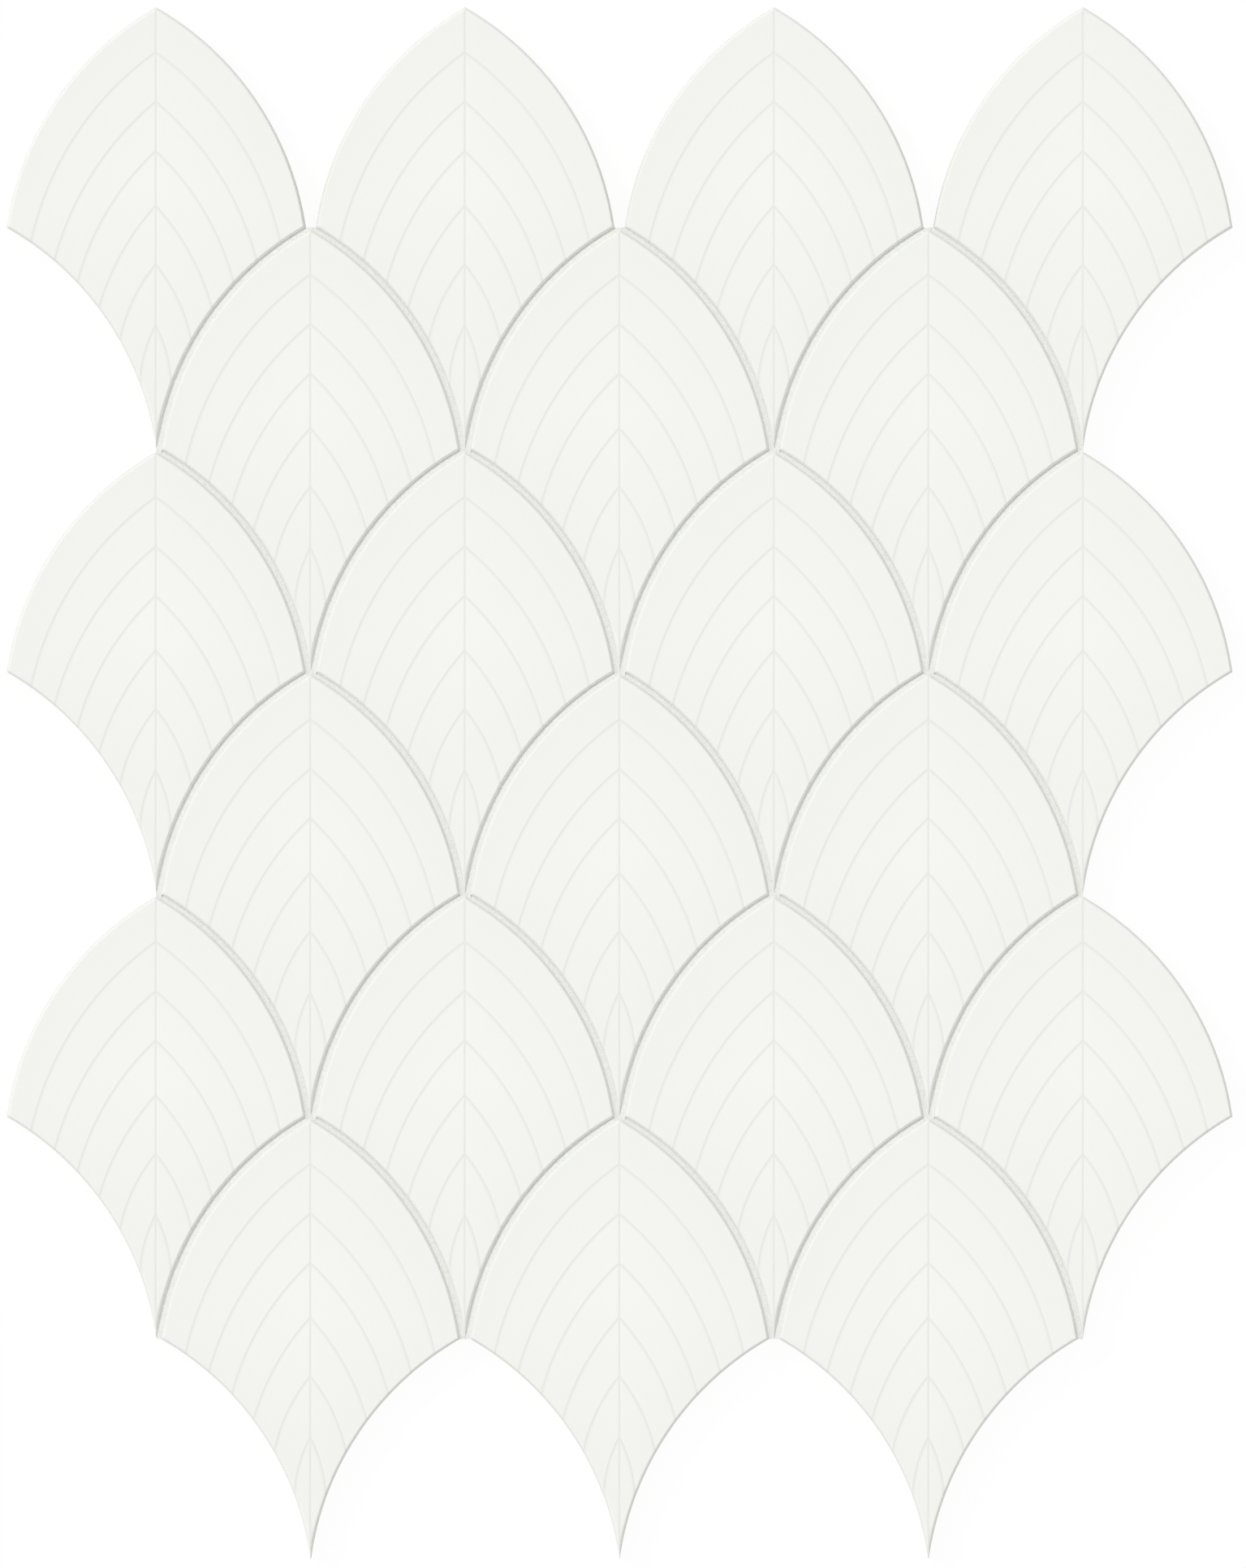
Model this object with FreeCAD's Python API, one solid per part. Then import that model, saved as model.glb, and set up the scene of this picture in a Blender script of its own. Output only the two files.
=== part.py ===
import FreeCAD, Part
import math
import os

# A sheet of interlocking fish scale tiles: glazed ceramic scales with a bevelled edge and a
# midrib, the filling of the joints between them, and the mesh that holds their backs together.
# Millimetres. The origin is on the floor under the middle of the sheet, +Y runs towards the
# tile tips and +Z comes out of the glazed face.

# Layout of the sheet, which holds the whole tiles that fit in its nominal size
SHEET_WIDTH = 255.0
SHEET_HEIGHT = 322.0
SHOULDER_GAP = 2.15  # between the shoulders of two tiles of a row
ROW_GAP = 0.45  # added to each row's close-packed pitch

# One tile
TILE_WIDTH = 61.7  # shoulder to shoulder
TILE_HEIGHT = 91.0  # tip to spike
EDGE_RADIUS = 62.4  # of all four edges: two bulge out, two hollow in
TILE_THICKNESS = 6.5
ARRIS = 0.55  # the bevel round the glazed face
MIDRIB_DEPTH = 0.1
MIDRIB_WIDTH = 0.7

# Joint filling and backing
JOINT_RECESS = 0.75  # below the glazed face
MESH_THICKNESS = 0.4

# Cutters run this far past what they cut
OVERRUN = 3.0

UP = FreeCAD.Vector(0, 0, 1)
half_width = TILE_WIDTH / 2
half_height = TILE_HEIGHT / 2
column_pitch = TILE_WIDTH + SHOULDER_GAP
row_pitch = half_height + ROW_GAP
row_count = 1 + int((SHEET_HEIGHT - TILE_HEIGHT) // row_pitch)
column_count = 1 + int((SHEET_WIDTH - TILE_WIDTH) // column_pitch)
outer_column = column_pitch * (column_count - 1) / 2
outer_row = row_pitch * (row_count - 1) / 2

# Plan of one tile, with its tip at the origin and its spike below
tip = FreeCAD.Vector(0, 0, 0)
shoulder = FreeCAD.Vector(half_width, -half_height, 0)
spike = FreeCAD.Vector(0, -TILE_HEIGHT, 0)


def mirrored(point):
    return FreeCAD.Vector(-point.x, point.y, point.z)


def bulge_centre():
    """Centre of the right-hand outward edge, which runs from the tip to the shoulder."""
    chord = shoulder - tip
    inward = FreeCAD.Vector(chord.y, -chord.x, 0).normalize()
    reach = math.sqrt(EDGE_RADIUS**2 - (chord.Length / 2) ** 2)
    return tip + chord / 2 + inward * reach


def hollow_centre():
    """Centre of the right-hand inward edge: the left bulge of the tile that nests there."""
    return mirrored(bulge_centre()) + shoulder


def edge_arc(start, end, centre):
    outward = ((start + end) / 2 - centre).normalize()
    return Part.Arc(start, centre + outward * EDGE_RADIUS, end).toShape()


def tile_blank():
    """One tile before its edges are bevelled."""
    left_shoulder = mirrored(shoulder)
    edges = [
        edge_arc(tip, shoulder, bulge_centre()),
        edge_arc(shoulder, spike, hollow_centre()),
        edge_arc(spike, left_shoulder, mirrored(hollow_centre())),
        edge_arc(left_shoulder, tip, mirrored(bulge_centre())),
    ]
    return Part.Face(Part.Wire(edges)).extrude(UP * TILE_THICKNESS)


def direction_angle(point, centre):
    return math.degrees(math.atan2(point.y - centre.y, point.x - centre.x))


def arris_cutter(centre, start, end, side):
    """Turn the corner that the bevel takes off along one edge, a little past both its ends.

    side is +1 on an outward edge, whose tile lies inside the arc, and -1 on an inward one.
    """
    low = TILE_THICKNESS - ARRIS - OVERRUN
    high = TILE_THICKNESS + OVERRUN
    outside = EDGE_RADIUS + side * OVERRUN
    inside = EDGE_RADIUS - side * (ARRIS + OVERRUN)
    corners = [
        FreeCAD.Vector(outside, 0, low),
        FreeCAD.Vector(inside, 0, high),
        FreeCAD.Vector(outside, 0, high),
    ]
    face = Part.Face(Part.makePolygon(corners + corners[:1]))
    spare = math.degrees(OVERRUN / EDGE_RADIUS)
    from_angle = direction_angle(start, centre) + spare
    to_angle = direction_angle(end, centre) - spare
    face.rotate(tip, UP, from_angle)
    face.translate(centre)
    return face.revolve(centre, UP, to_angle - from_angle)


def midrib_cutter():
    """A straight vee from tip to spike, with its mouth carried up past the face."""
    bottom = TILE_THICKNESS - MIDRIB_DEPTH
    mouth = TILE_THICKNESS + OVERRUN
    half_mouth = MIDRIB_WIDTH / 2 * (mouth - bottom) / MIDRIB_DEPTH
    corners = [
        FreeCAD.Vector(0, OVERRUN, bottom),
        FreeCAD.Vector(half_mouth, OVERRUN, mouth),
        FreeCAD.Vector(-half_mouth, OVERRUN, mouth),
    ]
    face = Part.Face(Part.makePolygon(corners + corners[:1]))
    return face.extrude(FreeCAD.Vector(0, -TILE_HEIGHT - 2 * OVERRUN, 0))


def scale_tile():
    right_side = [
        arris_cutter(bulge_centre(), tip, shoulder, 1),
        arris_cutter(hollow_centre(), spike, shoulder, -1),
    ]
    left_side = [cutter.mirror(tip, FreeCAD.Vector(1, 0, 0)) for cutter in right_side]
    return tile_blank().cut(right_side + left_side + [midrib_cutter()])


def tile_places():
    """Row, number and tip position of every tile; every other row holds one less, half a pitch over."""
    places = []
    for row in range(row_count):
        count = column_count - row % 2
        for number in range(count):
            across = (number - (count - 1) / 2) * column_pitch
            along = outer_row - row * row_pitch + half_height
            places.append((row + 1, number + 1, FreeCAD.Vector(across, along, MESH_THICKNESS)))
    return places


def inner_field(bottom, top):
    """A slab between the outer columns and rows, clear of the notches that the next sheets nest in."""
    slab = Part.makeBox(2 * outer_column, 2 * outer_row, top - bottom)
    slab.translate(FreeCAD.Vector(-outer_column, -outer_row, bottom))
    return slab


def joint_filling():
    """The network of joints: the inner field less every tile, low enough to leave the bevels free."""
    top = MESH_THICKNESS + TILE_THICKNESS - JOINT_RECESS
    blank = tile_blank()
    blanks = [blank.translated(place) for _, _, place in tile_places()]
    return inner_field(MESH_THICKNESS, top).cut(blanks)


def save(shape, node):
    shape.exportStep(os.path.join("parts", node + ".step"))


os.makedirs("parts", exist_ok=True)
tile = scale_tile()
for row, number, place in tile_places():
    save(tile.translated(place), f"tile_row{row}_no{number}")
save(joint_filling(), "joint_grout")
save(inner_field(0, MESH_THICKNESS), "backing_mesh")
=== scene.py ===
import math

import bpy
from mathutils import Matrix, Vector


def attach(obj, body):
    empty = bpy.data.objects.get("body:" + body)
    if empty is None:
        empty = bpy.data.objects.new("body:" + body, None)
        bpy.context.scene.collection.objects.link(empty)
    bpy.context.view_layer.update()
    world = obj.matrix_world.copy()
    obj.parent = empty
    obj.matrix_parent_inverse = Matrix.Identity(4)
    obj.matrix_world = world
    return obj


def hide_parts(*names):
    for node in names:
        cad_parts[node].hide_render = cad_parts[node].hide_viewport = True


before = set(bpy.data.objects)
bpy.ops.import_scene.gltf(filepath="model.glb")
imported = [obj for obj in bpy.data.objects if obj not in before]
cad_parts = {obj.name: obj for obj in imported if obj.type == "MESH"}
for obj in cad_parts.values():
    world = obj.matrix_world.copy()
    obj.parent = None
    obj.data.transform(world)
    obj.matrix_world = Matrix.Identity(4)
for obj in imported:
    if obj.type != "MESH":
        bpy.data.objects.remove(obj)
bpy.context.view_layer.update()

# A sheet of 21 fish scale tiles: the glazed tiles, the sanded joints and the woven backing.
# Sizes are in millimetres, as in the part's source, unless a comment says otherwise. The scene is in metres.
MM = 0.001
TILE_WIDTH = 61.7  # shoulder to shoulder
TILE_HEIGHT = 91.0  # tip to spike
EDGE_RADIUS = 62.4  # of all four edges: two bulge out, two hollow in
TILE_THICKNESS = 6.5
ARRIS = 0.55  # the bevel round the glazed face
MESH_THICKNESS = 0.4
SHOULDER_GAP = 2.15  # between the shoulders of two tiles of a row
ROW_GAP = 0.45  # added to each row's close-packed pitch
ROW_COUNT = 6
COLUMN_COUNT = 4

HALF_WIDTH = TILE_WIDTH / 2
HALF_HEIGHT = TILE_HEIGHT / 2
COLUMN_PITCH = TILE_WIDTH + SHOULDER_GAP
ROW_PITCH = HALF_HEIGHT + ROW_GAP
OUTER_COLUMN = COLUMN_PITCH * (COLUMN_COUNT - 1) / 2
OUTER_ROW = ROW_PITCH * (ROW_COUNT - 1) / 2
FACE_LEVEL = MESH_THICKNESS + TILE_THICKNESS
BACK_LEVEL = MESH_THICKNESS

# Leaf relief pressed into half a face. Each vein leaves the midrib this far below the tip, ends on the
# hollow edge this far from the midrib, and turns this many degrees off its chord.
VEINS = (
    (9.3, 25.85, 21.3),
    (19.5, 21.0, 17.8),
    (29.7, 16.25, 16.3),
    (41.0, 11.8, 13.5),
    (53.1, 7.5, 13.9),
    (65.7, 3.3, 13.0),
)
VEIN_DEPTH = 0.05
MIDRIB_DEPTH = 0.05

# Across a vein, from its steep wall on the tip side to its soft ramp on the spike side: distance from its
# lowest line, share of its depth, and how much the glaze is darkened there, partly by pooled glaze and partly
# by painted shade in the groove. The midrib is alike on both sides.
VEIN_WALL = ((-0.34, 0.0, 0.0), (-0.25, 0.06, 0.05), (-0.17, 0.4, 0.38), (-0.08, 0.88, 0.92))
VEIN_RAMP = (
    (0.0, 1.0, 1.0),
    (0.1, 0.92, 0.95),
    (0.24, 0.62, 0.64),
    (0.4, 0.28, 0.31),
    (0.58, 0.07, 0.12),
    (0.8, 0.0, 0.0),
)
MIDRIB_STEPS = (
    (0.0, 1.0, 1.0),
    (0.1, 0.85, 0.95),
    (0.19, 0.45, 0.55),
    (0.28, 0.1, 0.15),
    (0.38, 0.0, 0.0),
)

# The bevel round the face, softened by the glaze where it meets the face: distance from the edge, and drop
ARRIS_STEPS = (
    (0.0, 0.6),
    (0.05, 0.51),
    (0.37, 0.13),
    (0.44, 0.05),
    (0.5, 0.013),
    (0.56, 0.0),
    (0.66, 0.0),
)
GLOW_REACH = 24.0  # distance from the edge at which the painted glow, lighter towards the face's middle, is full
BEVEL_PAINTED_SHADE = 1.1  # painted shade on the bevel, for a drop as deep as the arris

# Mesh of the half face: even columns from the midrib's foot to the bevel, and even rows between two veins
# and below the last one
PLAIN_COLUMNS = 20
PLAIN_ROWS = 2
SPIKE_ROWS = 10
COLUMNS = len(MIDRIB_STEPS) + PLAIN_COLUMNS - 1 + len(ARRIS_STEPS)

# The close columns spread out where a row meets the midrib or the edge at a slant, up to these slants, and
# together they take up at most one of this many parts of a row
MIDRIB_SLANT_LIMIT = 0.3
EDGE_SLANT_LIMIT = 0.5
ROW_PARTS = 3

# Across a joint, from the bulging edge to the hollow one: distance from its middle line and level, over the
# face of the filling and round its back
JOINT_FACE = (
    (-0.65, 6.26),
    (-0.45, 6.24),
    (-0.22, 6.2),
    (0.0, 6.15),
    (0.22, 6.1),
    (0.42, 6.04),
    (0.52, 5.94),
    (0.65, 5.8),
)
JOINT_BACK = ((JOINT_FACE[-1][0], BACK_LEVEL), (JOINT_FACE[0][0], BACK_LEVEL))
# Beside the hollow edge, the face is raised by this much at a joint's shoulder end and at its tip end
CREVICE_AT_SHOULDER = 0.3
CREVICE_AT_TIP = -0.24
JOINT_OVERLAP = 0.9  # of a strip past both ends of the edges that it fills
BACK_RECESS = 0.05  # of the filling from the tiles' backs
STAGGER = 0.03  # between the backs and the ends of filling strips that cross
JOINT_STEP = 0.3  # along a strip
SAND_SIZE = 0.45
SAND_HEIGHT = 0.1
LEVEL_MARGIN = 0.01

# Woven backing: strands in each direction, half the width and thickness of a strand, and how much of the
# sheet the strands cover
WARP_STRANDS = 38
WEFT_STRANDS = 46
STRAND_HALF_WIDTH = 0.42
STRAND_HALF_THICKNESS = 0.095
STRAND_SIDES = 6

# Edges that turn by more than this many degrees stay sharp
TILE_CREASE = 40
JOINT_CREASE = 50
STRAND_CREASE = 70

NO_LENGTH = 1e-6  # a length below this is none
TOUCHING = 1e-6  # in metres: points nearer than this are one
CUT_TOLERANCE = 1e-7  # in metres
PLACE_DIGITS = 3  # to which two places are compared


def only(piece):
    """Select one piece and make it the active one."""
    bpy.ops.object.select_all(action="DESELECT")
    piece.select_set(True)
    bpy.context.view_layer.objects.active = piece


def apply_modifiers(piece):
    only(piece)
    for modifier in list(piece.modifiers):
        bpy.ops.object.modifier_apply(modifier=modifier.name)


def bulge_centre():
    """Centre of the right-hand outward edge of a tile whose tip is at the origin."""
    chord = Vector((HALF_WIDTH, -HALF_HEIGHT))
    inward = Vector((chord.y, -chord.x)).normalized()
    reach = math.sqrt(EDGE_RADIUS**2 - chord.length_squared / 4)
    return chord / 2 + inward * reach


BULGE = bulge_centre()
HOLLOW = Vector((HALF_WIDTH - BULGE.x, BULGE.y - HALF_HEIGHT))


def hollow_edge_point(turn):
    return HOLLOW + EDGE_RADIUS * Vector((math.cos(turn), math.sin(turn)))


def hollow_edge_turn(across):
    """Angle about the hollow edge's centre at which the edge is this far from the midrib."""
    return math.pi - math.acos((HOLLOW.x - across) / EDGE_RADIUS)


def face_lines():
    """The outer edge, the veins and the spike: start on the midrib, end angle on the hollow edge, and bow."""
    outer_bow = math.asin(math.hypot(HALF_WIDTH, HALF_HEIGHT) / 2 / EDGE_RADIUS)
    lines = [(0.0, hollow_edge_turn(HALF_WIDTH), outer_bow)]
    lines += [(down, hollow_edge_turn(across), math.radians(bow)) for down, across, bow in VEINS]
    lines.append((TILE_HEIGHT, hollow_edge_turn(0.0), lines[-1][2]))
    return lines


LINES = face_lines()


def arc_between(strip, share):
    """Start, chord direction, outward direction, radius and bow of the arc at this share of a strip."""
    a = LINES[strip]
    b = LINES[min(strip + 1, len(LINES) - 1)]
    down, turn, bow = (p + (q - p) * share for p, q in zip(a, b))
    start = Vector((0.0, -down))
    chord = hollow_edge_point(turn) - start
    along = chord.normalized() if chord.length > NO_LENGTH else Vector((1.0, 0.0))
    outward = Vector((-along.y, along.x))
    return start, along, outward, chord.length / 2 / math.sin(bow), bow


def arc_point(arc, position):
    """Point of an arc at a share of its length, and its direction there."""
    start, along, outward, radius, bow = arc
    turn = bow * (2 * position - 1)
    reach = radius * (math.sin(bow) + math.sin(turn))
    rise = radius * (math.cos(turn) - math.cos(bow))
    point = start + along * reach + outward * rise
    return point, along * math.cos(turn) - outward * math.sin(turn)


def column_positions(arc):
    """Shares of an arc's length for every column: close by the midrib and the hollow edge, even between."""
    radius, bow = arc[3:]
    length = 2 * radius * bow
    if length < NO_LENGTH:
        return [0.0] * COLUMNS
    leaving = arc_point(arc, 0.0)[1]
    end, arriving = arc_point(arc, 1.0)
    squareness = abs(arriving.dot((end - HOLLOW).normalized()))
    near = [step[0] / max(leaving.x, MIDRIB_SLANT_LIMIT) for step in MIDRIB_STEPS]
    far = [step[0] / max(squareness, EDGE_SLANT_LIMIT) for step in reversed(ARRIS_STEPS)]
    tightness = min(1.0, length / ROW_PARTS / (near[-1] + far[0]))
    near = [tightness * place / length for place in near]
    far = [1 - tightness * place / length for place in far]
    step = (far[0] - near[-1]) / PLAIN_COLUMNS
    plain = [near[-1] + step * (n + 1) for n in range(PLAIN_COLUMNS - 1)]
    return near + plain + far


def face_rows():
    """Rows of the half face: strip, line it is measured from, place, and share of a vein's depth and of its
    pooled glaze and painted shade.
    """
    rows = []
    for strip in range(len(VEINS) + 1):
        if strip == 0:
            rows += [(strip, "from", step[0], 0.0, 0.0) for step in ARRIS_STEPS]
        else:
            rows += [(strip, "from", *step) for step in VEIN_RAMP]
        plain = SPIKE_ROWS if strip == len(VEINS) else PLAIN_ROWS
        rows += [(strip, "between", (n + 1) / (plain + 1), 0.0, 0.0) for n in range(plain)]
        if strip == len(VEINS):
            rows.append((strip, "to", 0.0, 0.0, 0.0))
        else:
            rows += [(strip, "to", *step) for step in VEIN_WALL]
    return rows


ROWS = face_rows()


def strip_share(row, position):
    """How far across its strip a row runs at this share of the arcs' length."""
    strip, kind, place = row[:3]
    upper, upper_way = arc_point(arc_between(strip, 0.0), position)
    lower, lower_way = arc_point(arc_between(strip, 1.0), position)
    gap = lower - upper
    first = VEIN_RAMP[-1][0] if strip else ARRIS_STEPS[-1][0]
    last = 0.0 if strip == len(VEINS) else -VEIN_WALL[0][0]
    upper_width = abs(gap.dot(Vector((-upper_way.y, upper_way.x))))
    lower_width = abs(gap.dot(Vector((-lower_way.y, lower_way.x))))
    if kind == "from":
        return place / upper_width
    if kind == "to":
        return 1 + place / lower_width if lower_width > NO_LENGTH else 1.0
    start = first / upper_width
    end = 1 - last / lower_width if lower_width > NO_LENGTH else 1.0
    return start + (end - start) * place


def profile_at(steps, distance):
    """Straight between the steps of a section: its values at a distance."""
    for near, far in zip(steps, steps[1:]):
        if distance <= far[0]:
            share = (distance - near[0]) / (far[0] - near[0])
            return [a + (b - a) * share for a, b in zip(near[1:], far[1:])]
    return steps[-1][1:]


def face_point(column, row):
    """Place of one point of the half face, how much pooled glaze and painted shade darken it, and how much
    painted glow lightens it.
    """
    strip, _, _, vein_depth, vein_pool_and_shade = row
    position = column_positions(arc_between(strip, 0.5))[column]
    arc = arc_between(strip, strip_share(row, position))
    point, _ = arc_point(arc, column_positions(arc)[column])
    edge = min(EDGE_RADIUS - (point - BULGE).length, (point - HOLLOW).length - EDGE_RADIUS)
    bevel = profile_at(ARRIS_STEPS, max(edge, 0.0))[0]
    midrib_depth, midrib_pool_and_shade = profile_at(MIDRIB_STEPS, abs(point.x))
    sunk = max(vein_depth * VEIN_DEPTH, midrib_depth * MIDRIB_DEPTH)
    place = Vector((point.x, point.y, FACE_LEVEL - bevel - sunk)) * MM
    # Pooled glaze and painted shade darken the veins and the midrib; on the bevel the darkening is painted
    # shade only
    pool_and_shade = max(vein_pool_and_shade, midrib_pool_and_shade, BEVEL_PAINTED_SHADE * bevel / ARRIS)
    # Painted glow: the face is coloured lighter towards its middle and darker by its edges
    return place, pool_and_shade, min(max(edge, 0.0) / GLOW_REACH, 1.0)


def scale_tile():
    """Model one tile with its tip at the origin: half its face, mirrored, then its walls and its back."""
    columns = COLUMNS - 1
    rows = len(ROWS) - 1
    bpy.ops.object.select_all(action="DESELECT")
    bpy.ops.mesh.primitive_grid_add(x_subdivisions=columns, y_subdivisions=rows, size=1)
    tile = bpy.context.object
    mesh = tile.data
    mesh.attributes.new("glaze_pool_and_painted_shade", "FLOAT", "POINT")
    mesh.attributes.new("painted_glow", "FLOAT", "POINT")
    pool_and_shade = mesh.attributes["glaze_pool_and_painted_shade"].data
    glow = mesh.attributes["painted_glow"].data
    for vertex in mesh.vertices:
        column = round((vertex.co.x + 0.5) * columns)
        row = round((0.5 - vertex.co.y) * rows)
        place, pool_and_shade[vertex.index].value, glow[vertex.index].value = face_point(column, ROWS[row])
        vertex.co = place
    mirror = tile.modifiers.new("other half", "MIRROR")
    mirror.merge_threshold = TOUCHING
    apply_modifiers(tile)
    bpy.ops.object.mode_set(mode="EDIT")
    bpy.ops.mesh.select_all(action="SELECT")
    bpy.ops.mesh.remove_doubles(threshold=2 * TOUCHING)
    bpy.ops.mesh.dissolve_degenerate(threshold=TOUCHING)
    bpy.ops.mesh.select_all(action="DESELECT")
    bpy.ops.mesh.select_mode(type="EDGE")
    bpy.ops.mesh.select_non_manifold(
        extend=False,
        use_wire=False,
        use_multi_face=False,
        use_verts=False,
    )
    bpy.ops.mesh.extrude_edges_move()
    bpy.ops.object.mode_set(mode="OBJECT")
    for vertex in tile.data.vertices:
        if vertex.select:
            vertex.co.z = BACK_LEVEL * MM
    bpy.ops.object.mode_set(mode="EDIT")
    bpy.ops.mesh.edge_face_add()
    bpy.ops.mesh.select_all(action="SELECT")
    bpy.ops.mesh.normals_make_consistent(inside=False)
    bpy.ops.object.mode_set(mode="OBJECT")
    # The extruded edge took the bevel's painted shade with it, and the back has none
    for vertex in tile.data.vertices:
        if vertex.co.z < (FACE_LEVEL - 2 * ARRIS) * MM:
            tile.data.attributes["glaze_pool_and_painted_shade"].data[vertex.index].value = 0.0
    bpy.ops.object.shade_smooth_by_angle(angle=math.radians(TILE_CREASE))
    return tile


def tile_places():
    """Row, number and tip position of every tile; every other row holds one less, half a pitch over."""
    places = []
    for row in range(ROW_COUNT):
        count = COLUMN_COUNT - row % 2
        for number in range(count):
            across = (number - (count - 1) / 2) * COLUMN_PITCH
            along = OUTER_ROW - row * ROW_PITCH + HALF_HEIGHT
            places.append((row + 1, number + 1, Vector((across, along, 0.0))))
    return places


def joint_strip():
    """One right-hand joint: its section, turned about the middle between the two edges that it fills."""
    middle = BULGE + Vector((SHOULDER_GAP / 4, ROW_GAP / 2))
    spare = JOINT_OVERLAP / EDGE_RADIUS
    first = math.atan2(-HALF_HEIGHT - BULGE.y, HALF_WIDTH - BULGE.x) - spare
    last = math.atan2(-BULGE.y, -BULGE.x) + spare
    section = JOINT_FACE + JOINT_BACK
    bpy.ops.object.select_all(action="DESELECT")
    bpy.ops.mesh.primitive_circle_add(vertices=len(section), radius=1)
    strip = bpy.context.object
    for vertex, (across, level) in zip(strip.data.vertices, section):
        reach = EDGE_RADIUS + across
        place = Vector((middle.x + reach * math.cos(first), middle.y + reach * math.sin(first), level))
        vertex.co = place * MM
    bpy.ops.object.mode_set(mode="EDIT")
    bpy.ops.mesh.select_all(action="SELECT")
    bpy.ops.mesh.spin(
        steps=round((last - first) * EDGE_RADIUS / JOINT_STEP),
        angle=first - last,
        center=(middle.x * MM, middle.y * MM, 0.0),
        axis=(0.0, 0.0, 1.0),
    )
    bpy.ops.mesh.select_all(action="SELECT")
    bpy.ops.mesh.fill_holes(sides=len(section))
    bpy.ops.mesh.normals_make_consistent(inside=False)
    bpy.ops.object.mode_set(mode="OBJECT")
    for vertex in strip.data.vertices:
        arm = vertex.co.xy / MM - middle
        share = (math.atan2(arm.y, arm.x) - first) / (last - first)
        if vertex.co.z < (BACK_LEVEL + BACK_RECESS) * MM:
            vertex.co.z += (BACK_RECESS + 2 * STAGGER * share) * MM
        else:
            lean = max(arm.length - EDGE_RADIUS, 0.0) / JOINT_FACE[-1][0]
            crevice = CREVICE_AT_SHOULDER + (CREVICE_AT_TIP - CREVICE_AT_SHOULDER) * share
            vertex.co.z += lean**2 * crevice * MM
    return strip


def mirrored_copy(piece):
    """A copy mirrored across the midrib, with its faces turned outwards again and its back staggered."""
    twin = piece.copy()
    twin.data = piece.data.copy()
    bpy.context.scene.collection.objects.link(twin)
    twin.data.transform(Matrix.Scale(-1, 4, Vector((1, 0, 0))))
    twin.data.flip_normals()
    for vertex in twin.data.vertices:
        if vertex.co.z < FACE_LEVEL / 2 * MM:
            vertex.co.z += STAGGER * MM
    return twin


def placed_copy(piece, place):
    copy = piece.copy()
    copy.data = piece.data.copy()
    copy.data.transform(Matrix.Translation(place * MM))
    bpy.context.scene.collection.objects.link(copy)
    return copy


def join(pieces):
    only(pieces[0])
    for piece in pieces:
        piece.select_set(True)
    bpy.ops.object.join()
    return bpy.context.object


def trim_flat(piece, inset):
    """Cut a piece off flat at the sheet's outer columns and rows, or this far inside them."""
    only(piece)
    bpy.ops.object.mode_set(mode="EDIT")
    for reach, way in ((OUTER_COLUMN, (1, 0, 0)), (OUTER_ROW, (0, 1, 0))):
        for side in (1, -1):
            bpy.ops.mesh.select_all(action="SELECT")
            normal = Vector(way) * side
            bpy.ops.mesh.bisect(
                plane_co=normal * (reach - inset) * MM,
                plane_no=normal,
                use_fill=True,
                clear_outer=True,
                threshold=CUT_TOLERANCE,
            )
    bpy.ops.object.mode_set(mode="OBJECT")


def comparable(across, along):
    """A place, rounded so that it is equal however it was worked out."""
    return round(across, PLACE_DIGITS), round(along, PLACE_DIGITS)


def joint_filling():
    """Strips along every edge that has a tile above it, cut off flat at the outer columns and rows."""
    right = joint_strip()
    left = mirrored_copy(right)
    tips = [comparable(place.x, place.y) for _, _, place in tile_places()]
    both_sides = []
    for side, strip, inset in ((1, right, 0.0), (-1, left, STAGGER)):
        strips = []
        for _, _, place in tile_places():
            if comparable(place.x + side * COLUMN_PITCH / 2, place.y + ROW_PITCH) in tips:
                strips.append(placed_copy(strip, place))
        bpy.data.objects.remove(strip)
        both_sides.append(join(strips))
        trim_flat(both_sides[-1], inset)
    filling = join(both_sides)
    sand = bpy.data.textures.new("sand", "CLOUDS")
    sand.noise_scale = SAND_SIZE * MM
    sand.noise_depth = 1
    lowest = min(level for _, level in JOINT_FACE) + CREVICE_AT_TIP - LEVEL_MARGIN
    on_face = [vertex.index for vertex in filling.data.vertices if vertex.co.z > lowest * MM]
    face = filling.vertex_groups.new(name="face of the joints")
    face.add(on_face, 1.0, "REPLACE")
    grain_relief = filling.modifiers.new("sand", "DISPLACE")
    grain_relief.texture = sand
    grain_relief.texture_coords = "LOCAL"
    grain_relief.direction = "Z"
    grain_relief.mid_level = 0.5
    grain_relief.strength = SAND_HEIGHT * MM
    grain_relief.vertex_group = face.name
    apply_modifiers(filling)
    bpy.ops.object.shade_smooth_by_angle(angle=math.radians(JOINT_CREASE))
    return filling


def strand_length(along_x, offset, first_rise, cross_pitch):
    """Two crossings of one strand: a flattened ring, extruded over one strand and under the next."""
    bpy.ops.object.select_all(action="DESELECT")
    bpy.ops.mesh.primitive_circle_add(vertices=STRAND_SIDES, radius=1)
    strand = bpy.context.object
    strand.data.attributes.new("across", "FLOAT", "POINT")
    across = strand.data.attributes["across"].data
    for vertex in strand.data.vertices:
        turn = 2 * math.pi * vertex.index / STRAND_SIDES
        across[vertex.index].value = math.cos(turn)
        side = offset + STRAND_HALF_WIDTH * math.cos(turn)
        level = MESH_THICKNESS / 2 + STRAND_HALF_THICKNESS * math.sin(turn)
        vertex.co = Vector((0.0, side, level) if along_x else (side, 0.0, level)) * MM
    bpy.ops.object.mode_set(mode="EDIT")
    bpy.ops.mesh.select_all(action="SELECT")
    forward = cross_pitch / 2
    for rise in (first_rise, -first_rise, -first_rise, first_rise):
        lift = rise * STRAND_HALF_THICKNESS
        step = Vector((forward, 0.0, lift) if along_x else (0.0, forward, lift)) * MM
        bpy.ops.mesh.extrude_region_move(TRANSFORM_OT_translate={"value": step})
    bpy.ops.object.mode_set(mode="OBJECT")
    return strand


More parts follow.
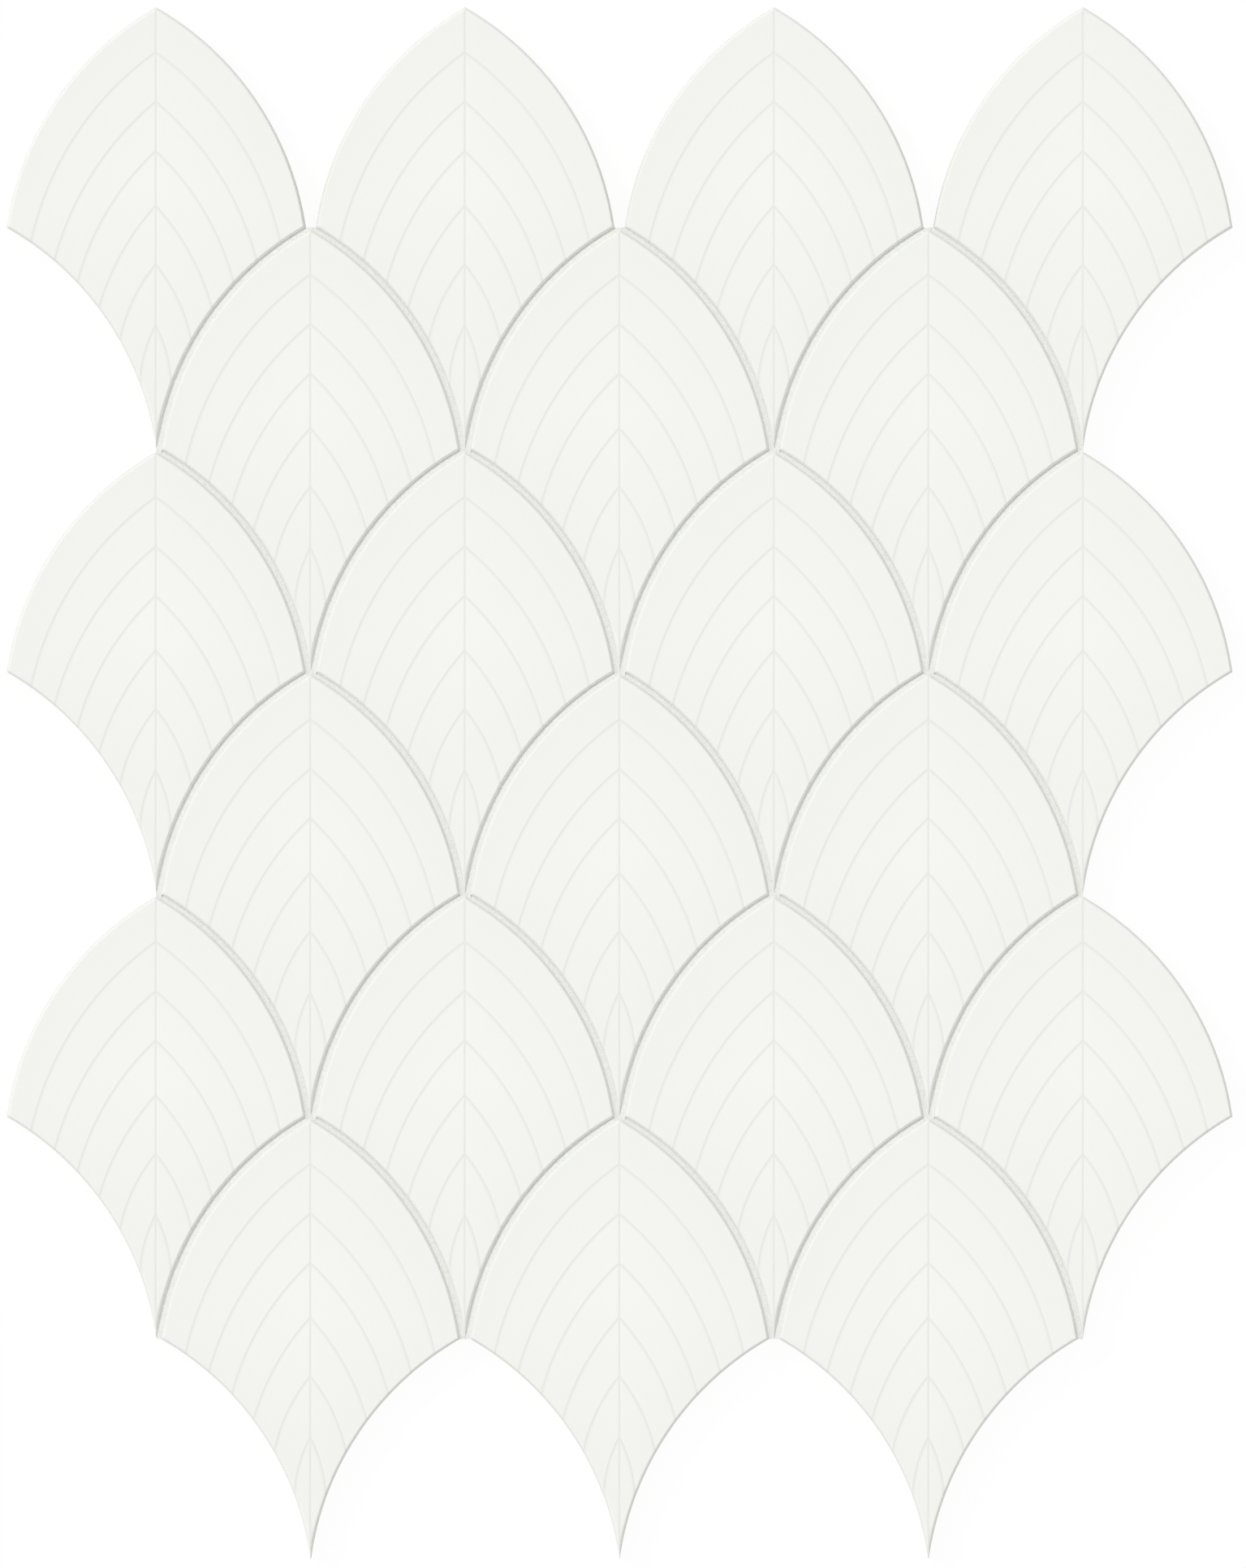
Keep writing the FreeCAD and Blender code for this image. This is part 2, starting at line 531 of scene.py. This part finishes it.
def backing_cloth():
    """Two strands each way, woven over and under, repeated over the sheet."""
    pitch_x = 2 * OUTER_COLUMN / WARP_STRANDS
    pitch_y = 2 * OUTER_ROW / WEFT_STRANDS
    strands = []
    for place, rise in ((0.5, 1), (1.5, -1)):
        strands.append(strand_length(False, place * pitch_x, rise, pitch_y))
        strands.append(strand_length(True, place * pitch_y, -rise, pitch_x))
    cloth = join(strands)
    cloth.data.transform(Matrix.Translation(Vector((-OUTER_COLUMN, -OUTER_ROW, 0.0)) * MM))
    for name, count, offset in (
        ("across the sheet", WARP_STRANDS // 2, (2 * pitch_x * MM, 0.0, 0.0)),
        ("along the sheet", WEFT_STRANDS // 2, (0.0, 2 * pitch_y * MM, 0.0)),
    ):
        repeat = cloth.modifiers.new(name, "ARRAY")
        repeat.count = count
        repeat.use_relative_offset = False
        repeat.use_constant_offset = True
        repeat.constant_offset_displace = offset
        repeat.use_merge_vertices = True
        repeat.merge_threshold = TOUCHING
    apply_modifiers(cloth)
    bpy.ops.object.mode_set(mode="EDIT")
    bpy.ops.mesh.select_all(action="SELECT")
    bpy.ops.mesh.remove_doubles(threshold=TOUCHING)
    bpy.ops.mesh.fill_holes(sides=STRAND_SIDES)
    bpy.ops.mesh.normals_make_consistent(inside=False)
    bpy.ops.object.mode_set(mode="OBJECT")
    bpy.ops.object.shade_smooth_by_angle(angle=math.radians(STRAND_CREASE))
    return cloth


# Noise of each finish: its coarse and its fine scale to the metre, and the fine one's share of the height
GLAZE_PEEL = (60.0, 900.0, 0.35)
GLAZE_RUNS = (110.0, 110.0, 0.0)
CLAY_GRAIN = (350.0, 2600.0, 0.5)
GROUT_SAND = (1500.0, 4500.0, 0.6)
FIBRE_DRESSING = (250.0, 3000.0, 0.5)
COARSE_DETAIL = 3.0
FINE_DETAIL = 2.0

# The part of a noise's values that a change of colour or gloss is spread over
SPREAD = (0.3, 0.7)
GENTLE_SPREAD = (0.25, 0.75)
SHARP_SPREAD = (0.35, 0.65)

# Glaze: its own colour; a lighter one that paints a glow in the face's middle; a darker one for its mottle,
# for pooled glaze and for painted shade; how strongly it mottles; and how strongly pooled glaze and painted
# shade darken it
GLAZE = (0.889, 0.897, 0.854)
GLAZE_PAINTED_GLOW = (0.918, 0.926, 0.884)
DARK_GLAZE_AND_SHADE = (0.785, 0.791, 0.76)
GLAZE_MOTTLE = 0.05
POOLING_AND_PAINTED_SHADE = 0.74
GLAZE_ROUGHNESS = (0.42, 0.5)

# Where the glaze stops: depth below the face, how far it wanders up and down, and how softly it ends
GLAZE_STOP = 2.2
GLAZE_WANDER = 0.4
GLAZE_FADE = 0.3

FIRED_CLAY = (0.72, 0.66, 0.56)
CLAY_SPECK = (0.62, 0.55, 0.45)
CLAY_SPECKLING = 0.6
CLAY_ROUGHNESS = 0.92

SAND_SHADE = (0.73, 0.735, 0.7)
SAND_PALE = (0.885, 0.895, 0.856)
GROUT_ROUGHNESS = (0.85, 0.98)

FIBRE_PAINTED_SHADE = (0.62, 0.64, 0.63)
FIBRE_PALE = (0.86, 0.87, 0.86)
FIBRE_ROUGHNESS = (0.35, 0.6)
FILAMENT_TURN = 26.0  # of the wave that splits a strand into filaments, in radians to half its width

# Bumps: strength, and height in millimetres
TILE_BUMP = (0.12, 0.2)
GROUT_BUMP = (0.5, 0.2)
FIBRE_BUMP = (0.4, 0.05)


def nodes_of(tree):
    """Empty a node tree, and give the function that adds a node to it with its settings."""
    tree.nodes.clear()

    def add(kind, **settings):
        node = tree.nodes.new(kind)
        for name, value in settings.items():
            setattr(node, name, value)
        return node

    return add


def put_in(link, socket, value):
    """Link a socket to the one that puts its value out, or set it to a plain number or colour."""
    if isinstance(value, tuple):
        socket.default_value = (*value, 1.0)
    elif isinstance(value, float):
        socket.default_value = value
    else:
        link(value, socket)


# A mix node has sockets for every kind of value, so its inputs and its output go by their places
def mix_numbers(add, link, factor, first, second):
    node = add("ShaderNodeMix", data_type="FLOAT")
    put_in(link, node.inputs[0], factor)
    put_in(link, node.inputs[2], first)
    put_in(link, node.inputs[3], second)
    return node.outputs[0]


def mix_colours(add, link, factor, first, second):
    node = add("ShaderNodeMix", data_type="RGBA")
    put_in(link, node.inputs[0], factor)
    put_in(link, node.inputs[6], first)
    put_in(link, node.inputs[7], second)
    return node.outputs[2]


def fine_grain_group():
    """Two sizes of noise on object coordinates: a value from 0 to 1, and a height for bumps."""
    group = bpy.data.node_groups.new("fine grain", "ShaderNodeTree")
    face = group.interface
    for name in ("Coarse Scale", "Fine Scale", "Fine Share"):
        face.new_socket(name, in_out="INPUT", socket_type="NodeSocketFloat")
    for name in ("Value", "Height"):
        face.new_socket(name, in_out="OUTPUT", socket_type="NodeSocketFloat")
    add = nodes_of(group)
    link = group.links.new
    given = add("NodeGroupInput")
    result = add("NodeGroupOutput")
    place = add("ShaderNodeTexCoord")
    coarse = add("ShaderNodeTexNoise")
    coarse.inputs["Detail"].default_value = COARSE_DETAIL
    fine = add("ShaderNodeTexNoise")
    fine.inputs["Detail"].default_value = FINE_DETAIL
    link(place.outputs["Object"], coarse.inputs["Vector"])
    link(place.outputs["Object"], fine.inputs["Vector"])
    link(given.outputs["Coarse Scale"], coarse.inputs["Scale"])
    link(given.outputs["Fine Scale"], fine.inputs["Scale"])
    both = mix_numbers(add, link, given.outputs["Fine Share"], coarse.outputs["Fac"], fine.outputs["Fac"])
    link(coarse.outputs["Fac"], result.inputs["Value"])
    link(both, result.inputs["Height"])
    return group


FINE_GRAIN = fine_grain_group()


def new_material(name):
    """A material, and the functions that add and link its nodes."""
    material = bpy.data.materials.new(name)
    material.use_nodes = True
    return material, nodes_of(material.node_tree), material.node_tree.links.new


def grain(add, coarse, fine, share):
    node = add("ShaderNodeGroup", node_tree=FINE_GRAIN)
    node.inputs["Coarse Scale"].default_value = coarse
    node.inputs["Fine Scale"].default_value = fine
    node.inputs["Fine Share"].default_value = share
    return node


def ramp_between(add, link, value, low, high, to_low=0.0, to_high=1.0):
    """A value carried from between low and high to between to_low and to_high, and kept there."""
    node = add("ShaderNodeMapRange")
    node.inputs["From Min"].default_value = low
    node.inputs["From Max"].default_value = high
    node.inputs["To Min"].default_value = to_low
    node.inputs["To Max"].default_value = to_high
    link(value, node.inputs["Value"])
    return node.outputs["Result"]


def bump_surface(add, link, surface, height, strength, distance):
    bump = add("ShaderNodeBump")
    bump.inputs["Strength"].default_value = strength
    bump.inputs["Distance"].default_value = distance * MM
    link(height, bump.inputs["Height"])
    link(bump.outputs["Normal"], surface.inputs["Normal"])


def glazed_ceramic():
    """Satin white glaze that pools in the relief and stops unevenly on the walls, over bare fired clay, with
    painted shade in the relief and on the bevel and a painted glow in the face's middle.
    """
    material, add, link = new_material("satin white glaze on fired clay")
    surface = add("ShaderNodeBsdfPrincipled")
    output = add("ShaderNodeOutputMaterial")
    place = add("ShaderNodeTexCoord")
    height = add("ShaderNodeSeparateXYZ")
    peel = grain(add, *GLAZE_PEEL)
    clay = grain(add, *CLAY_GRAIN)
    runs = grain(add, *GLAZE_RUNS)
    pool_and_shade = add("ShaderNodeAttribute", attribute_name="glaze_pool_and_painted_shade")
    glow = add("ShaderNodeAttribute", attribute_name="painted_glow")

    link(place.outputs["Object"], height.inputs[0])
    wander = ramp_between(add, link, runs.outputs["Value"], *SPREAD, -GLAZE_WANDER * MM, GLAZE_WANDER * MM)
    level = add("ShaderNodeMath", operation="ADD")
    link(height.outputs["Z"], level.inputs[0])
    link(wander, level.inputs[1])
    glaze_line = (FACE_LEVEL - GLAZE_STOP) * MM
    covered = ramp_between(add, link, level.outputs[0], glaze_line, glaze_line + GLAZE_FADE * MM)

    # Painted glow: the glaze is coloured lighter towards the face's middle
    glaze_with_glow = mix_colours(add, link, glow.outputs["Fac"], GLAZE, GLAZE_PAINTED_GLOW)
    mottle = ramp_between(add, link, peel.outputs["Value"], *GENTLE_SPREAD, 0.0, GLAZE_MOTTLE)
    toned = mix_colours(add, link, mottle, glaze_with_glow, DARK_GLAZE_AND_SHADE)
    # Pooled glaze and painted shade darken the relief, and painted shade darkens the bevel
    pooled_and_shaded = ramp_between(add, link, pool_and_shade.outputs["Fac"], 0.0, 1.0, 0.0, POOLING_AND_PAINTED_SHADE)
    glaze = mix_colours(add, link, pooled_and_shaded, toned, DARK_GLAZE_AND_SHADE)
    speck = ramp_between(add, link, clay.outputs["Height"], *SHARP_SPREAD, 0.0, CLAY_SPECKLING)
    body = mix_colours(add, link, speck, FIRED_CLAY, CLAY_SPECK)
    link(mix_colours(add, link, covered, body, glaze), surface.inputs["Base Color"])

    gloss = ramp_between(add, link, peel.outputs["Value"], *SPREAD, *GLAZE_ROUGHNESS)
    link(mix_numbers(add, link, covered, CLAY_ROUGHNESS, gloss), surface.inputs["Roughness"])
    relief = mix_numbers(add, link, covered, clay.outputs["Height"], peel.outputs["Height"])
    bump_surface(add, link, surface, relief, *TILE_BUMP)
    link(surface.outputs[0], output.inputs["Surface"])
    return material


def sanded_grout():
    """Dull cement with pale and darker grains of sand."""
    material, add, link = new_material("sanded joint grout")
    surface = add("ShaderNodeBsdfPrincipled")
    output = add("ShaderNodeOutputMaterial")
    sand = grain(add, *GROUT_SAND)
    tone = ramp_between(add, link, sand.outputs["Height"], *SPREAD)
    link(mix_colours(add, link, tone, SAND_SHADE, SAND_PALE), surface.inputs["Base Color"])
    dull = ramp_between(add, link, sand.outputs["Value"], *SPREAD, *GROUT_ROUGHNESS)
    link(dull, surface.inputs["Roughness"])
    bump_surface(add, link, surface, sand.outputs["Height"], *GROUT_BUMP)
    link(surface.outputs[0], output.inputs["Surface"])
    return material


def glass_fibre():
    """Bundles of fine white filaments under a thin dressing, with painted shade in the grooves between the
    filaments.
    """
    material, add, link = new_material("dressed glass fibre")
    surface = add("ShaderNodeBsdfPrincipled")
    output = add("ShaderNodeOutputMaterial")
    across = add("ShaderNodeAttribute", attribute_name="across")
    dressing = grain(add, *FIBRE_DRESSING)
    turn = add("ShaderNodeMath", operation="MULTIPLY")
    turn.inputs[1].default_value = FILAMENT_TURN
    filaments = add("ShaderNodeMath", operation="SINE")
    link(across.outputs["Fac"], turn.inputs[0])
    link(turn.outputs[0], filaments.inputs[0])
    filament_shade_and_relief = ramp_between(add, link, filaments.outputs[0], -1.0, 1.0)
    # Painted shade in the grooves between filaments, where the bump also sinks the surface
    link(mix_colours(add, link, filament_shade_and_relief, FIBRE_PAINTED_SHADE, FIBRE_PALE), surface.inputs["Base Color"])
    shine = ramp_between(add, link, dressing.outputs["Value"], *SPREAD, *FIBRE_ROUGHNESS)
    link(shine, surface.inputs["Roughness"])
    bump_surface(add, link, surface, filament_shade_and_relief, *FIBRE_BUMP)
    link(surface.outputs[0], output.inputs["Surface"])
    return material


def finish_piece(piece, name, material, node):
    """Name a piece, give it its finish, and put it in the place of its CAD node."""
    piece.name = name
    piece.data.name = name
    piece.data.materials.clear()
    piece.data.materials.append(material)
    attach(piece, "root")
    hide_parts(node)


def lay_tiles():
    glaze = glazed_ceramic()
    pattern = scale_tile()
    for row, number, place in tile_places():
        label = f"row{row}_no{number}"
        finish_piece(placed_copy(pattern, place), "scale_" + label, glaze, "tile_" + label)
    bpy.data.objects.remove(pattern)


lay_tiles()
finish_piece(joint_filling(), "sanded_joints", sanded_grout(), "joint_grout")
cloth = backing_cloth()
finish_piece(cloth, "woven_backing", glass_fibre(), "backing_mesh")

# Camera straight above the sheet, at the photograph's framing
IMAGE_HEIGHT_PX = 1932
MM_PER_PX = 0.1677
LENS = 400.0
SENSOR = 36.0
CAMERA_ACROSS = 0.69  # off the middle of the sheet
CAMERA_ALONG = -0.15
CLIP_END = 100.0  # in metres


def overhead_camera():
    camera_data = bpy.data.cameras.new("camera")
    camera_data.lens = LENS
    camera_data.sensor_width = SENSOR
    camera_data.clip_end = CLIP_END
    camera = bpy.data.objects.new("camera", camera_data)
    distance = IMAGE_HEIGHT_PX * MM_PER_PX * LENS / SENSOR
    camera.location = Vector((CAMERA_ACROSS, CAMERA_ALONG, FACE_LEVEL + distance)) * MM
    bpy.context.scene.collection.objects.link(camera)
    bpy.context.scene.camera = camera


# White floor: its size in metres, its own colour, and where it is seen, the strength of the white that it
# shows and how much of that there is. The rest shows the light that falls on it, and so the shadow.
FLOOR_SIZE = 12.0
FLOOR_COLOUR = (0.88, 0.88, 0.88, 1.0)
PAPER_STRENGTH = 1.01
PAPER_SHARE = 0.94

# Light from all round, which grows towards overhead, and a soft key from the far left, its angles in degrees
WHITE = (1.0, 1.0, 1.0, 1.0)
FILL_AROUND = 0.41
FILL_OVERHEAD = 0.65
FILL_GROWTH = 2.0
KEY = 1.3
KEY_AZIMUTH = 145.0
KEY_ELEVATION = 40.0
KEY_SPREAD = 12.0
KEY_DISTANCE = 2.0  # in metres


def seen_directly(add, link):
    """One for the rays that show the surroundings themselves: camera, glossy and transmission rays."""
    rays = add("ShaderNodeLightPath")
    reflected = add("ShaderNodeMath", operation="MAXIMUM")
    either = add("ShaderNodeMath", operation="MAXIMUM")
    link(rays.outputs["Is Glossy Ray"], reflected.inputs[0])
    link(rays.outputs["Is Transmission Ray"], reflected.inputs[1])
    link(rays.outputs["Is Camera Ray"], either.inputs[0])
    link(reflected.outputs[0], either.inputs[1])
    return either.outputs[0]


def white_floor():
    bpy.ops.object.select_all(action="DESELECT")
    bpy.ops.mesh.primitive_plane_add(size=FLOOR_SIZE, location=(0, 0, 0))
    floor = bpy.context.object
    floor.name = "floor"
    material, add, link = new_material("white floor")
    lit = add("ShaderNodeBsdfDiffuse")
    lit.inputs["Color"].default_value = FLOOR_COLOUR
    paper = add("ShaderNodeEmission")
    paper.inputs["Strength"].default_value = PAPER_STRENGTH
    seen = add("ShaderNodeMath", operation="MULTIPLY")
    seen.inputs[1].default_value = PAPER_SHARE
    shader = add("ShaderNodeMixShader")
    output = add("ShaderNodeOutputMaterial")
    link(seen_directly(add, link), seen.inputs[0])
    link(seen.outputs[0], shader.inputs[0])
    link(lit.outputs[0], shader.inputs[1])
    link(paper.outputs[0], shader.inputs[2])
    link(shader.outputs[0], output.inputs["Surface"])
    floor.data.materials.append(material)


def fill_light():
    """A world that lights the sheet with the fill, and is plain white where it is seen."""
    world = bpy.data.worlds.new("studio")
    world.use_nodes = True
    bpy.context.scene.world = world
    add = nodes_of(world.node_tree)
    link = world.node_tree.links.new
    sky = add("ShaderNodeBackground")
    sky.inputs["Color"].default_value = WHITE
    direction = add("ShaderNodeTexCoord")
    height = add("ShaderNodeSeparateXYZ")
    overhead = add("ShaderNodeMath", operation="POWER", use_clamp=True)
    overhead.inputs[1].default_value = FILL_GROWTH
    fill = add("ShaderNodeMath", operation="MULTIPLY_ADD")
    fill.inputs[1].default_value = FILL_OVERHEAD
    fill.inputs[2].default_value = FILL_AROUND
    output = add("ShaderNodeOutputWorld")
    link(direction.outputs["Generated"], height.inputs[0])
    link(height.outputs["Z"], overhead.inputs[0])
    link(overhead.outputs[0], fill.inputs[0])
    strength = mix_numbers(add, link, seen_directly(add, link), fill.outputs[0], 1.0)
    link(strength, sky.inputs["Strength"])
    link(sky.outputs[0], output.inputs["Surface"])


def key_light():
    lamp = bpy.data.lights.new("key", "SUN")
    lamp.energy = KEY
    lamp.angle = math.radians(KEY_SPREAD)
    key = bpy.data.objects.new("key", lamp)
    bpy.context.scene.collection.objects.link(key)
    azimuth = math.radians(KEY_AZIMUTH)
    elevation = math.radians(KEY_ELEVATION)
    level = math.cos(elevation)
    towards = Vector((math.cos(azimuth) * level, math.sin(azimuth) * level, math.sin(elevation)))
    key.rotation_mode = "QUATERNION"
    key.rotation_quaternion = towards.to_track_quat("Z", "Y")
    key.location = towards * KEY_DISTANCE
    # Seen against the light, its reflection would burn the glaze out to white
    key.visible_glossy = False


overhead_camera()
white_floor()
fill_light()
key_light()
bpy.context.scene.view_settings.view_transform = "Standard"
